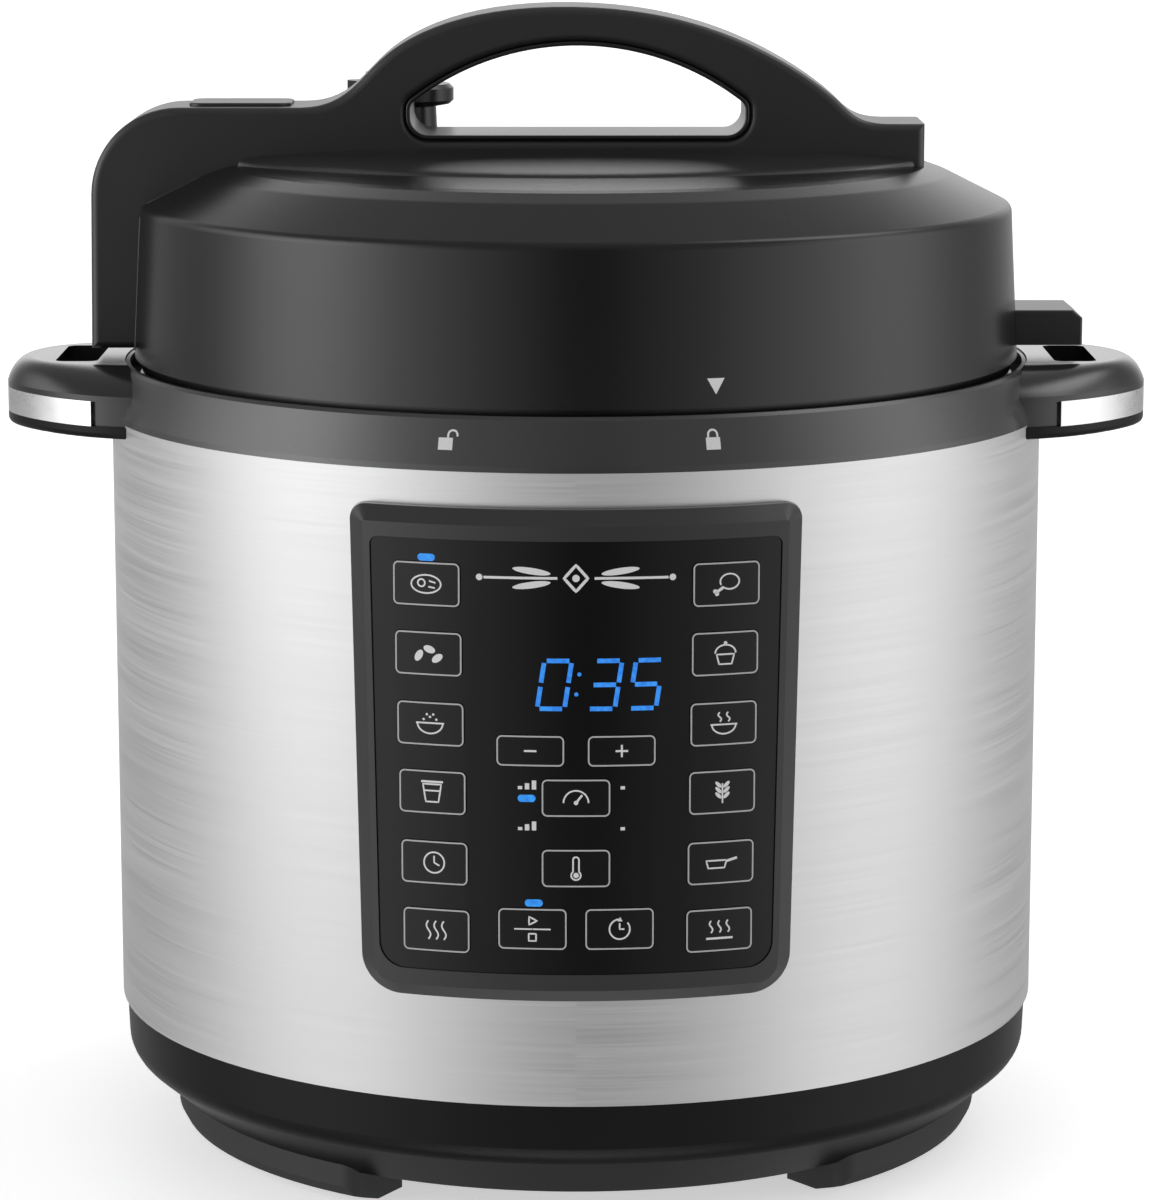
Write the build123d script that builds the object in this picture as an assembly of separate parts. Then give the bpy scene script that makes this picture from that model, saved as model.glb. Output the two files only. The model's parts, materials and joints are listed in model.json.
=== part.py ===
from build123d import *
import math
import os

# Electric pressure cooker, millimetres. Z = 0 is the plane its feet stand on, the cooker's
# upright axis is X = Y = 0, and the control panel faces -Y. An azimuth is an angle about that
# axis in degrees, from the front towards +X.

# Driving dimensions
HANDLE_SPAN = 340.0        # overall width across the two side handles
BODY_RADIUS = 138.5        # outside of the steel sleeve
SLEEVE_BOTTOM = 41.0
SLEEVE_TOP = 218.0
COLLAR_TOP = 232.6
LID_BOTTOM = 234.1
LID_SHOULDER = 278.4
LID_TOP = 290.5
HANDLE_TOP = 336.7
POT_INSIDE_RADIUS = 108.5
POT_FLOOR = 60.0
POT_RIM_TOP = 219.5
PLATE_TOP = 58.0           # heating plate, and the underside of the pot

MOVING_GAP = 0.3           # between pieces of two bodies
KEY_GAP = 0.2              # round a key in its cut-out

# Base
FLOOR_Z = 10.0
FLOOR_THICKNESS = 3.0
BASE_WALL = 2.6
BASE_EDGE_RADIUS = 119.0
BASE_TURN_Z = 25.0
BASE_TURN_RADIUS = 136.6
BASE_TOP_RADIUS = 137.3
BASE_RIM_TOP = 50.0
FLOOR_HOLE_RADIUS = 88.0
COVER_RADIUS = 95.5
COVER_THICKNESS = 2.9
FOOT_AZIMUTHS = (-58.0, 66.0, 184.0)
FOOT_HALF_ANGLE = 27.0
FOOT_INNER_RADIUS = 98.0
FOOT_SOLE_RADIUS = 110.5
FOOT_OUTER_RADIUS = 122.0
SCREW_RING_RADIUS = 91.8
SLEEVE_THICKNESS = 1.0

# Lock ring and pots
RING_WALL_OUT = 130.0
RING_WALL_IN = 128.5
RING_LEDGE_Z = 216.0
RING_LUG_IN = 122.8
RING_LUG_Z = (226.0, 228.5)
LID_LUG_OUT = 122.3
LID_LUG_Z = (222.0, 224.5)
LUG_COUNT = 8
LUG_HALF_ANGLE = 9.5
OUTER_POT_RADIUS = 124.0
OUTER_POT_FLOOR = 40.0
SHEET = 1.2

# Side handles
HANDLE_COVER_Z = 213.5
TRIM_Z = 217.0
TRIM_TOP = 224.3
LIP_Z = 226.0
HANDLE_CROWN_Z = 231.0
PLATEAU_Z = 233.0
TRIM_DEPTH = 1.2
LIP_TIP = HANDLE_SPAN / 2
LIP_PLAN = ((128.0, 47.4), (142.3, 41.9), (153.7, 33.1), (161.7, 23.9), (168.4, 11.5), (LIP_TIP, 0.0))
CROWN_PLAN = ((128.0, 39.5), (142.3, 35.2), (153.2, 28.6), (160.3, 21.0), (165.9, 10.4), (167.2, 0.0))
PLATEAU_PLAN = ((128.0, 25.5), (142.3, 24.2), (151.5, 21.4), (157.0, 16.8), (160.6, 8.8), (161.4, 0.0))
SLOT_X = (141.5, 154.0)
SLOT_HALF_WIDTH = 19.0

# Control panel
PANEL_RADIUS = 145.5
PANEL_BACK = 138.8
PANEL_Z = (72.0, 208.5)
PANEL_HALF_WIDTH = (59.0, 61.6)
PANEL_CORNER = 11.0
PANEL_TOP_CORNER = 4.4
BEZEL_BEVEL = 4.0
OVERLAY_RADIUS = 145.0
OVERLAY_BACK = 143.4
OVERLAY_Z = (80.5, 200.5)
OVERLAY_HALF_WIDTH = (54.0, 56.0)
OVERLAY_CORNER = 7.0
OVERLAY_TOP_CORNER = 2.4
KEY_FACE = 145.25
KEY_BACK = 142.2
KEY_FLANGE_FACE = 143.1
KEY_CORNER = 1.5
SWITCH_FACE = 141.5
MEMBRANE = (139.2, 139.8)
BOARD_Y = (-131.0, -129.4)

# Each key: azimuth, height of its centre, width, height
TALL_KEY = (18.9, 12.0)
KEY_ROWS = (188.0, 168.9, 149.5, 130.5, 110.8, 91.8)
LEFT_KEYS = ("meat", "beans", "rice", "yogurt", "slow", "steam")
RIGHT_KEYS = ("poultry", "dessert", "soup", "grain", "saute", "warm")
LEFT_AZIMUTHS = (-16.19, -15.28)
RIGHT_AZIMUTHS = (16.29, 15.69)
KEYS = {
    "minus": (-4.9, 143.0, 18.5, 8.5),
    "plus": (4.9, 143.0, 18.5, 8.5),
    "pressure": (0.0, 130.0, 18.7, 10.4),
    "temperature": (0.0, 110.4, 18.7, 10.5),
    "start": (-4.7, 93.3, 18.8, 11.5),
    "delay": (4.7, 93.3, 18.8, 11.5),
}
LIGHTS = ((-16.18, 195.3), (-4.55, 100.6), (-5.3, 129.8))

# Lid
LID_BOTTOM_RADIUS = 131.5
LID_SHOULDER_RADIUS = 129.1
LID_CONE_TOP = (110.4, 287.8)
LID_CREST = (103.7, 290.1)
LID_WALL = 2.5
LID_PLATE_TOP = 246.0
GRIP_HALF_WIDTH = 17.0
TAB_HALF_WIDTH = 14.0
GRIP_EDGE = 2.2
FAIRING = ((286.0, 60.5), (290.9, 59.0), (291.9, 52.0), (292.7, 38.0), (293.7, 25.0), (295.5, 18.0))
FAIRING_END = (102.0, 14.0)
LINER_WALL = 1.2           # lining of the finger opening
LINER_PROUD = 0.5
VALVE_X = -52.0
VALVE_Y = 47.0
VALVE_WELL = 16.4
FLOAT_X = 42.0
FLOAT_Y = 52.0

# Drip cup and power inlet, at the back
CUP_HALF_WIDTH = 31.0
CUP_Z = (176.0, 210.0)
REAR_Y = 149.0
CUP_WALL = 1.6
INLET_Z = (15.5, 39.5)
INLET_HALF_WIDTH = 21.0
INLET_FACE = 139.5
INLET_BACK = 114.0


def place(azimuth, radius, height=0.0):
    """Point at an azimuth, radius and height."""
    angle = math.radians(azimuth)
    return (radius * math.sin(angle), -radius * math.cos(angle), height)


def facing(azimuth, radius, height):
    """Plane square to the radius at an azimuth, its local y upwards."""
    angle = math.radians(azimuth)
    return Plane(
        origin=place(azimuth, radius, height),
        x_dir=(math.cos(angle), math.sin(angle), 0),
        z_dir=(math.sin(angle), -math.cos(angle), 0),
    )


def turned(points):
    """Solid of revolution about the upright axis, from (radius, height) corners."""
    outline = Polyline(*[(radius, 0, height) for radius, height in points], close=True)
    return revolve(make_face(outline), Axis.Z)


def tube(inside, outside, bottom, top):
    """Upright tube about the cooker's axis."""
    return turned([(inside, bottom), (outside, bottom), (outside, top), (inside, top)])


def disc(radius, bottom, top, x=0.0, y=0.0):
    """Upright cylinder between two heights."""
    return Pos(x, y, (bottom + top) / 2) * Cylinder(radius, top - bottom)


def block(low, high):
    """Box between two opposite corners."""
    size = [b - a for a, b in zip(low, high)]
    middle = [(a + b) / 2 for a, b in zip(low, high)]
    return Pos(*middle) * Box(*size)


def wedge(azimuth, half_angle, reach, bottom, top):
    """Pie slice of the space round the axis, used to cut rings into sectors."""
    corners = [(0, 0)]
    middle_stretch = 1.0 / math.cos(math.radians(half_angle))
    for turn, stretch in ((-half_angle, 1.0), (0.0, middle_stretch), (half_angle, 1.0)):
        x, y, _ = place(azimuth + turn, reach * stretch)
        corners.append((x, y))
    plan = make_face(Polyline(*corners, close=True))
    return extrude(Pos(0, 0, bottom) * plan, top - bottom)


def round_at(solid, radius, height, amount):
    """Round the circular edges of a turned solid that lie at a radius and height."""
    edges = [
        edge
        for edge in solid.edges().filter_by(GeomType.CIRCLE)
        if abs(edge.radius - radius) < 0.05 and abs(edge.center().Z - height) < 0.05
    ]
    return fillet(edges, amount)


# ---- base ----


def base_envelope():
    """The base's outside shape, filled."""
    return turned(
        [
            (0, FLOOR_Z),
            (BASE_EDGE_RADIUS, FLOOR_Z),
            (BASE_TURN_RADIUS, BASE_TURN_Z),
            (BASE_TOP_RADIUS, SLEEVE_BOTTOM),
            (BASE_TOP_RADIUS, BASE_RIM_TOP),
            (0, BASE_RIM_TOP),
        ]
    )


def base_shell():
    """Black lower shell: sloping edge, short wall, and a rim that stands inside the sleeve."""
    floor_top = FLOOR_Z + FLOOR_THICKNESS
    shell = turned(
        [
            (FLOOR_HOLE_RADIUS, FLOOR_Z),
            (BASE_EDGE_RADIUS, FLOOR_Z),
            (BASE_TURN_RADIUS, BASE_TURN_Z),
            (BASE_TOP_RADIUS, SLEEVE_BOTTOM),
            (BASE_TOP_RADIUS, BASE_RIM_TOP),
            (BASE_TOP_RADIUS - BASE_WALL, BASE_RIM_TOP),
            (BASE_TURN_RADIUS - BASE_WALL, BASE_TURN_Z + 1.2),
            (BASE_EDGE_RADIUS - 1.2, floor_top),
            (FLOOR_HOLE_RADIUS, floor_top),
        ]
    )
    shell = round_at(shell, BASE_TURN_RADIUS, BASE_TURN_Z, 7.0)
    shell = round_at(shell, BASE_EDGE_RADIUS, FLOOR_Z, 1.2)
    for azimuth in FOOT_AZIMUTHS:
        x, y, _ = place(azimuth, SCREW_RING_RADIUS)
        shell -= disc(1.4, FLOOR_Z - 1, floor_top + 1, x, y)
    return shell - inlet_block(0.0)


def bottom_cover():
    """Vented plate that closes the floor, with four posts for the power board."""
    top = FLOOR_Z
    cover = disc(COVER_RADIUS, top - COVER_THICKNESS, top)
    cover = round_at(cover, COVER_RADIUS, top - COVER_THICKNESS, 0.8)
    for x, y in board_corners():
        cover += disc(3.0, top, 15.0, x, y)
    for row in range(6):
        for side in (-1, 1):
            slot = SlotOverall(30.0, 3.0)
            cut = extrude(Pos(side * 46.0, (row - 2.5) * 9.0, top - 5) * slot, 6)
            cover -= cut
    for azimuth in FOOT_AZIMUTHS:
        x, y, _ = place(azimuth, SCREW_RING_RADIUS)
        cover -= disc(1.9, top - 4, top + 1, x, y)
    return cover


def base_screws():
    """Three screws that hold the bottom cover up to the shell's floor."""
    screws = []
    bottom = FLOOR_Z - COVER_THICKNESS
    for azimuth in FOOT_AZIMUTHS:
        x, y, _ = place(azimuth, SCREW_RING_RADIUS)
        head = disc(3.2, bottom - 1.8, bottom, x, y)
        head -= block((x - 2.2, y - 0.4, bottom - 2), (x + 2.2, y + 0.4, bottom - 1))
        screws.append(head + disc(1.35, bottom, FLOOR_Z + 6.0, x, y))
    return screws


def foot_pads():
    """Three wide feet, each an arc with a rounded outer edge, fitted under the sloping edge."""
    ring = turned(
        [
            (FOOT_INNER_RADIUS, 0),
            (FOOT_SOLE_RADIUS, 0),
            (FOOT_OUTER_RADIUS - 1.5, 3.2),
            (FOOT_OUTER_RADIUS, 6.0),
            (FOOT_OUTER_RADIUS, 16.0),
            (FOOT_INNER_RADIUS, 16.0),
        ]
    )
    ring = round_at(ring, FOOT_SOLE_RADIUS, 0, 4.0)
    ring -= base_envelope()
    feet = []
    for azimuth in FOOT_AZIMUTHS:
        foot = ring & wedge(azimuth, FOOT_HALF_ANGLE, 200, -1, 20)
        uprights = foot.edges().filter_by(Axis.Z)
        ends = uprights.sort_by(lambda edge: math.hypot(edge.center().X, edge.center().Y))
        feet.append(fillet(ends[-2:], 5.0))
    return feet


def steel_sleeve():
    """Brushed steel band round the body, with an opening behind the control panel."""
    sleeve = tube(BODY_RADIUS - SLEEVE_THICKNESS, BODY_RADIUS, SLEEVE_BOTTOM, SLEEVE_TOP)
    return sleeve - panel_prism(PANEL_Z, PANEL_HALF_WIDTH, PANEL_CORNER, PANEL_TOP_CORNER, -4.0)


# ---- top collar, lock ring and pots ----


def top_collar():
    """Satin ring that caps the sleeve and carries the lock ring on an inner flange."""
    inner = RING_WALL_OUT + 0.2
    collar = turned(
        [
            (139.2, SLEEVE_TOP),
            (138.9, 219.6),
            (135.0, COLLAR_TOP - 0.9),
            (134.1, COLLAR_TOP),
            (133.0, COLLAR_TOP),
            (133.0, 221.0),
            (inner, 221.0),
            (inner, SLEEVE_TOP),
            (135.0, SLEEVE_TOP),
            (135.0, 210.0),
            (BODY_RADIUS - SLEEVE_THICKNESS - 0.2, 210.0),
            (BODY_RADIUS - SLEEVE_THICKNESS - 0.2, SLEEVE_TOP),
        ]
    )
    return collar


def collar_envelope(clearance=0.0):
    """Everything inside the collar's outer skin, for cutting the handles to it."""
    return turned(
        [
            (0, 205),
            (BODY_RADIUS + clearance, 205),
            (BODY_RADIUS + clearance, SLEEVE_TOP),
            (139.2 + clearance, SLEEVE_TOP),
            (138.9 + clearance, 219.6),
            (135.0 + clearance, COLLAR_TOP - 0.9),
            (134.4 + clearance, COLLAR_TOP),
            (134.4 + clearance, 245),
            (0, 245),
        ]
    )


def lugs(inside, outside, bottom, top, first_azimuth):
    """Evenly spaced lugs of a bayonet ring."""
    ring = tube(inside, outside, bottom, top)
    cuts = [
        wedge(first_azimuth + index * 360.0 / LUG_COUNT, LUG_HALF_ANGLE, 200, bottom - 1, top + 1)
        for index in range(LUG_COUNT)
    ]
    return [ring & cut for cut in cuts]


def lock_ring():
    """Steel ring with inward lugs above the ledge that the pot hangs on."""
    ring = turned(
        [
            (113.0, RING_LEDGE_Z),
            (RING_WALL_OUT, RING_LEDGE_Z),
            (RING_WALL_OUT, 221.0),
            (132.7, 221.0),
            (132.7, 222.2),
            (RING_WALL_OUT, 222.2),
            (RING_WALL_OUT, RING_LUG_Z[1]),
            (RING_WALL_IN, RING_LUG_Z[1]),
            (RING_WALL_IN, 218.0),
            (113.0, 218.0),
        ]
    )
    for lug in lugs(RING_LUG_IN, RING_WALL_IN + 0.5, *RING_LUG_Z, 0.0):
        ring += lug
    return ring


def outer_pot():
    """Sheet steel casing round the pot, hung under the lock ring."""
    floor_top = OUTER_POT_FLOOR + SHEET
    casing = turned(
        [
            (5.4, OUTER_POT_FLOOR),
            (OUTER_POT_RADIUS, OUTER_POT_FLOOR),
            (OUTER_POT_RADIUS, RING_LEDGE_Z),
            (OUTER_POT_RADIUS - SHEET, RING_LEDGE_Z),
            (OUTER_POT_RADIUS - SHEET, floor_top),
            (5.4, floor_top),
        ]
    )
    casing = round_at(casing, OUTER_POT_RADIUS, OUTER_POT_FLOOR, 3.0)
    for azimuth in (40, 160, 280):
        x, y, _ = place(azimuth, 74)
        casing += disc(4.0, floor_top, 50.0, x, y)
    return casing


def inner_pot():
    """Removable cooking pot: drawn wall, rounded floor and a flat rim."""
    wall = 1.5
    outside = POT_INSIDE_RADIUS + wall
    pot = turned(
        [
            (0, PLATE_TOP),
            (outside, PLATE_TOP),
            (outside, POT_RIM_TOP - wall),
            (118.5, POT_RIM_TOP - wall),
            (118.5, POT_RIM_TOP),
            (POT_INSIDE_RADIUS, POT_RIM_TOP),
            (POT_INSIDE_RADIUS, POT_FLOOR),
            (0, POT_FLOOR),
        ]
    )
    pot = round_at(pot, outside, PLATE_TOP, 13.5)
    pot = round_at(pot, POT_INSIDE_RADIUS, POT_FLOOR, 12.0)
    return round_at(pot, POT_INSIDE_RADIUS, POT_RIM_TOP, 1.0)


# ---- heater, sensor and electrics ----


def heating_plate():
    """Cast plate under the pot, with a hole for the sensor and a groove for the element."""
    plate = turned([(17, 50), (82, 50), (86, 53), (86, 56), (84, PLATE_TOP), (17, PLATE_TOP)])
    return plate - Pos(0, 0, 47.5) * Torus(60.0, 4.0)


def heating_element():
    """Tubular heating ring in the plate's groove, with two terminals that drop beside it."""
    element = Pos(0, 0, 47.5) * Torus(60.0, 3.9)
    for x in (-8.0, 8.0):
        y = -math.sqrt(60.0**2 - x**2)
        element += disc(2.4, 42.2, 47.5, x, y)
    return element


def temperature_sensor():
    """Spring-loaded cap in the middle of the plate, on a stem."""
    cap = turned(
        [
            (0, 36), (5.0, 36), (5.0, 56.2), (12.4, 56.2), (12.4, 51.7), (14.0, 51.7), (14.0, 57.0),
            (13.0, PLATE_TOP - MOVING_GAP), (0, PLATE_TOP - MOVING_GAP),
        ]
    )
    return cap


def sensor_spring():
    """Coil spring under the sensor's cap."""
    wire = 0.6
    bottom = OUTER_POT_FLOOR + SHEET + wire
    top = 56.2 - MOVING_GAP - wire
    path = Pos(0, 0, bottom) * Helix(pitch=(top - bottom) / 5, height=top - bottom, radius=9.0)
    section = Plane(origin=path @ 0, z_dir=path % 0) * Circle(wire)
    return sweep(section, path)


def thermal_fuse():
    """Cut-out fuse clipped under the heating plate."""
    barrel = Pos(34, 0, 46.0) * Rot(90, 0, 0) * Cylinder(2.6, 22)
    clip = block((31, -3, 46.0), (37, 3, 50.0))
    return barrel + clip


def pressure_switch():
    """Micro switch and bracket under the casing, worked by the casing's flexing floor."""
    body = block((26, 22, 26), (46, 34, 36.5))
    lever = disc(1.6, 36.5, OUTER_POT_FLOOR, 36, 28)
    bracket = block((22, 20.5, 24), (50, 22, 34)) + block((22, 20.5, 24), (50, 36, 26))
    return body + lever + bracket


def board_corners():
    """The power board's four fixing points."""
    return [(x, y) for x in (-42.0, 42.0) for y in (-40.0, 14.0)]


def power_board():
    """Flat circuit board on the bottom cover's posts."""
    board = block((-46, -44, 15.0), (46, 18, 16.6))
    for x, y in board_corners():
        board -= disc(1.2, 14, 18, x, y)
    return board


def power_board_parts():
    """Relay, transformer, capacitors and terminals standing on the power board."""
    top = 16.6
    parts = [
        block((-34, -36, top), (-14, -20, top + 16)),
        block((-6, -38, top), (18, -16, top + 17)),
        block((24, -36, top), (36, -26, top + 11)),
        block((-38, 0, top), (-22, 12, top + 8)),
    ]
    for x in (26.0, 36.0):
        parts.append(disc(4.0, top, top + 14, x, -14.0))
    parts.append(Pos(4, 4, top + 5) * Rot(0, 90, 0) * Cylinder(5.0, 24))
    return parts


def inlet_block(grow):
    """Outer block of the power inlet."""
    low = (-INLET_HALF_WIDTH - grow, INLET_BACK, INLET_Z[0] - grow)
    high = (INLET_HALF_WIDTH + grow, INLET_FACE, INLET_Z[1] + grow)
    return block(low, high)


def inlet_mouth(y_from, y_to):
    """Six-sided well of an appliance inlet."""
    middle = sum(INLET_Z) / 2
    corners = [(-12.2, -8.4), (12.2, -8.4), (12.2, 4.0), (8.0, 8.4), (-8.0, 8.4), (-12.2, 4.0)]
    well = make_face(Polyline(*corners, close=True))
    face = Plane(origin=(0, y_from, middle), x_dir=(1, 0, 0), z_dir=(0, -1, 0)) * well
    return extrude(face, -(y_to - y_from))


def inlet_pin_places():
    """Centres of the three pins across the well: (x, z)."""
    middle = sum(INLET_Z) / 2
    return [(-7.0, middle - 2.0), (7.0, middle - 2.0), (0.0, middle + 2.0)]


def power_inlet():
    """Recessed socket for a plug-in lead, low at the back."""
    housing = inlet_block(0.0)
    housing = fillet(housing.edges().filter_by(Axis.Y), 2.0)
    housing -= inlet_mouth(INLET_FACE - 17.0, INLET_FACE + 1.0)
    for x, z in inlet_pin_places():
        housing -= block((x - 1.0, INLET_BACK - 1, z - 2.0), (x + 1.0, INLET_FACE - 16.0, z + 2.0))
    return housing


def inlet_pins():
    """Three flat contact pins of the inlet."""
    pins = []
    for x, z in inlet_pin_places():
        pin = block((x - 1.0, INLET_BACK - 8.0, z - 2.0), (x + 1.0, INLET_FACE - 6.5, z + 2.0))
        tip = pin.faces().sort_by(Axis.Y)[-1]
        pins.append(chamfer(tip.edges(), 0.5))
    return pins


# ---- control panel ----


def panel_prism(heights, half_widths, corner, top_corner, grow=0.0):
    """Prism through the front, its outline a rounded panel that is narrower at the bottom."""
    low, high = heights
    narrow, wide = half_widths
    outline = Polyline(
        (-narrow - grow, low - grow),
        (narrow + grow, low - grow),
        (wide + grow, high + grow),
        (-wide - grow, high + grow),
        close=True,
    )
    face = make_face(outline)
    face = fillet(face.vertices().group_by(Axis.Y)[0], corner)
    face = fillet(face.vertices().group_by(Axis.Y)[-1], top_corner)
    return extrude(Plane.XZ * face, 200)


def overlay_prism(grow=0.0):
    """Prism with the overlay's outline."""
    return panel_prism(OVERLAY_Z, OVERLAY_HALF_WIDTH, OVERLAY_CORNER, OVERLAY_TOP_CORNER, grow)


def shell_slice(prism, inside, outside):
    """The part of a prism that lies between two radii."""
    return prism & tube(inside, outside, 40, 240)


def panel_bezel():
    """Curved frame round the control panel with a broad bevel and a ledge for the overlay."""
    outline = panel_prism(PANEL_Z, PANEL_HALF_WIDTH, PANEL_CORNER, PANEL_TOP_CORNER)
    outer = shell_slice(outline, PANEL_BACK, PANEL_RADIUS)
    front = outer.faces().filter_by(GeomType.CYLINDER).sort_by(Axis.Y)[0]
    outer = chamfer(front.outer_wire().edges(), BEZEL_BEVEL)
    seat = shell_slice(overlay_prism(), OVERLAY_BACK, PANEL_RADIUS + 5)
    return outer - seat - overlay_prism(-2.0)


def key_table():
    """Azimuth, centre height, width and height of every key, by name."""
    table = {}
    for index, height in enumerate(KEY_ROWS):
        share = index / (len(KEY_ROWS) - 1)
        for names, ends in ((LEFT_KEYS, LEFT_AZIMUTHS), (RIGHT_KEYS, RIGHT_AZIMUTHS)):
            azimuth = ends[0] + share * (ends[1] - ends[0])
            table[names[index]] = (azimuth, height, *TALL_KEY)
    table.update(KEYS)
    return table


def key_prism(spec, grow, corner):
    """Radial prism with a key's outline, grown on every side."""
    azimuth, height, width, tall = spec
    outline = RectangleRounded(width + 2 * grow, tall + 2 * grow, corner)
    return extrude(facing(azimuth, 120, height) * outline, 40)


def key(spec):
    """One push key: a cap that stands through the overlay and a flange that keeps it in."""
    cap = shell_slice(key_prism(spec, 0.0, KEY_CORNER), KEY_BACK, KEY_FACE)
    flange = shell_slice(key_prism(spec, 0.8, KEY_CORNER), KEY_BACK, KEY_FLANGE_FACE)
    return cap + flange


def light_prism(azimuth, height):
    """Radial prism with the outline of an indicator light."""
    return extrude(facing(azimuth, 120, height) * SlotOverall(4.9, 2.0), 40)


def indicator_lights():
    """Light pipes that end flush in the overlay."""
    return [shell_slice(light_prism(*spot), OVERLAY_BACK, OVERLAY_RADIUS + 0.05) for spot in LIGHTS]


def panel_overlay():
    """Curved glossy front sheet with a cut-out for every key and light."""
    sheet = shell_slice(overlay_prism(), OVERLAY_BACK, OVERLAY_RADIUS)
    for spec in key_table().values():
        sheet -= key_prism(spec, KEY_GAP, KEY_CORNER + KEY_GAP)
    for spot in LIGHTS:
        sheet -= light_prism(*spot)
    return sheet


def display_space():
    """Room that the display takes in front of the control board."""
    return block((-25, -141.4, 149), (25, BOARD_Y[0], 174))


def display_module():
    """Display block that stands forward from the control board."""
    return block((-24.5, -141.2, 149.5), (24.5, BOARD_Y[0], 173.5))


def key_switches():
    """Curved switch membrane with one raised switch behind every key."""
    membrane = shell_slice(overlay_prism(-2.4), *MEMBRANE)
    membrane -= display_space()
    for azimuth, height, _, _ in key_table().values():
        dome = extrude(facing(azimuth, 120, height) * Circle(2.6), 40)
        membrane += shell_slice(dome, MEMBRANE[0] + 0.2, SWITCH_FACE)
    return membrane


def control_board():
    """Upright circuit board behind the panel."""
    board = block((-40, BOARD_Y[0], 80), (40, BOARD_Y[1], 200))
    chip = block((-8, BOARD_Y[1], 120), (8, BOARD_Y[1] + 2.0, 136))
    header = block((-30, BOARD_Y[1], 88), (-6, BOARD_Y[1] + 4.0, 95))
    return board + chip + header


# ---- side handles, made for the right side and mirrored for the left ----


def moved_in(points, inset):
    """Half-outline points moved inwards, square to the line through their neighbours."""
    moved = []
    for index, (x, y) in enumerate(points):
        before = points[max(index - 1, 0)]
        after = points[index + 1] if index + 1 < len(points) else (before[0], -before[1])
        run_x, run_y = after[0] - before[0], after[1] - before[1]
        length = math.hypot(run_x, run_y)
        moved.append((x + inset * run_y / length, y - inset * run_x / length))
    return moved


def handle_plan(points, height):
    """Closed plan outline, symmetric about X, from the points of its +Y half."""
    whole = [(x, -y) for x, y in points] + [(x, y) for x, y in reversed(points[:-1])]
    (x, y) = points[0]
    back = Polyline(whole[-1], (x - 6, y), (x - 6, -y), whole[0])
    return Pos(0, 0, height) * make_face([Spline(*whole)] + list(back.edges()))


def lip_prism(bottom, top, inset):
    """Upright slab with the handle's lip outline, moved in by a small inset."""
    plan = handle_plan(moved_in(LIP_PLAN, inset), bottom)
    return extrude(plan, top - bottom)


def handle_slot():
    """Upright slot through the handle, where the lid's fin stands when the lid is off."""
    low, high = SLOT_X
    outline = Pos((low + high) / 2, 0) * RectangleRounded(high - low, 2 * SLOT_HALF_WIDTH, 3.0)
    return extrude(Pos(0, 0, 200) * outline, 60)


def side_handle():
    """Grip with a flat top, a rounded bevel down to its lip and a recess for the trim."""
    sections = [
        handle_plan(LIP_PLAN, LIP_Z),
        handle_plan(CROWN_PLAN, HANDLE_CROWN_Z),
        handle_plan(PLATEAU_PLAN, PLATEAU_Z),
    ]
    grip = loft(sections)
    grip += lip_prism(TRIM_TOP, LIP_Z, 0.0)
    grip += lip_prism(TRIM_Z, TRIM_TOP, TRIM_DEPTH)
    return grip - handle_slot() - collar_envelope()


def handle_trim():
    """Brushed band let into the side of the grip."""
    band = lip_prism(TRIM_Z, TRIM_TOP, 0.0) - lip_prism(TRIM_Z - 1, TRIM_TOP + 1, TRIM_DEPTH)
    return band - block((0, -80, 200), (141.0, 80, 240))


def handle_cover():
    """Lower cover of the grip."""
    cover = lip_prism(HANDLE_COVER_Z, TRIM_Z, 0.0)
    cover = fillet(cover.faces().sort_by(Axis.Z)[0].edges().filter_by(GeomType.BSPLINE), 1.6)
    return cover - handle_slot() - collar_envelope()


def left_of(solid):
    """The same piece for the left side."""
    return mirror(solid, about=Plane.YZ)


# ---- lid ----


def lid_outline():
    """Corners of the lid's outside, from its bottom edge to its middle."""
    return [
        (LID_BOTTOM_RADIUS, LID_BOTTOM),
        (LID_SHOULDER_RADIUS, LID_SHOULDER),
        LID_CONE_TOP,
        LID_CREST,
        (99.0, LID_TOP),
        (0, LID_TOP),
    ]


def lid_envelope():
    """The lid's outside shape, filled."""
    filled = turned([(0, LID_BOTTOM), *lid_outline()])
    filled = round_at(filled, LID_SHOULDER_RADIUS, LID_SHOULDER, 2.6)
    return round_at(filled, LID_CONE_TOP[0], LID_CONE_TOP[1], 6.0)


def lid_tab():
    """Small block on the lid's right that lines up with the side handle."""
    start, end, bottom, top = 125.0, 150.0, 237.2, 247.5
    corners = [(start, bottom), (end, bottom), (end, top - 2.3), (end - 2.8, top), (start, top)]
    whole = extrude(Plane.XZ * make_face(Polyline(*corners, close=True)), TAB_HALF_WIDTH, both=True)
    edges = whole.faces().filter_by(Plane.XZ).edges()
    outer = [edge for edge in edges if edge.center().X > start + 1 and edge.center().Z > bottom + 1]
    return fillet(outer, 0.8) - lid_envelope()


def lid_boss_places():
    """Three screw bosses between the lid and its pressure plate."""
    return [place(azimuth, 84.0)[:2] for azimuth in (30, 150, 270)]


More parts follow.
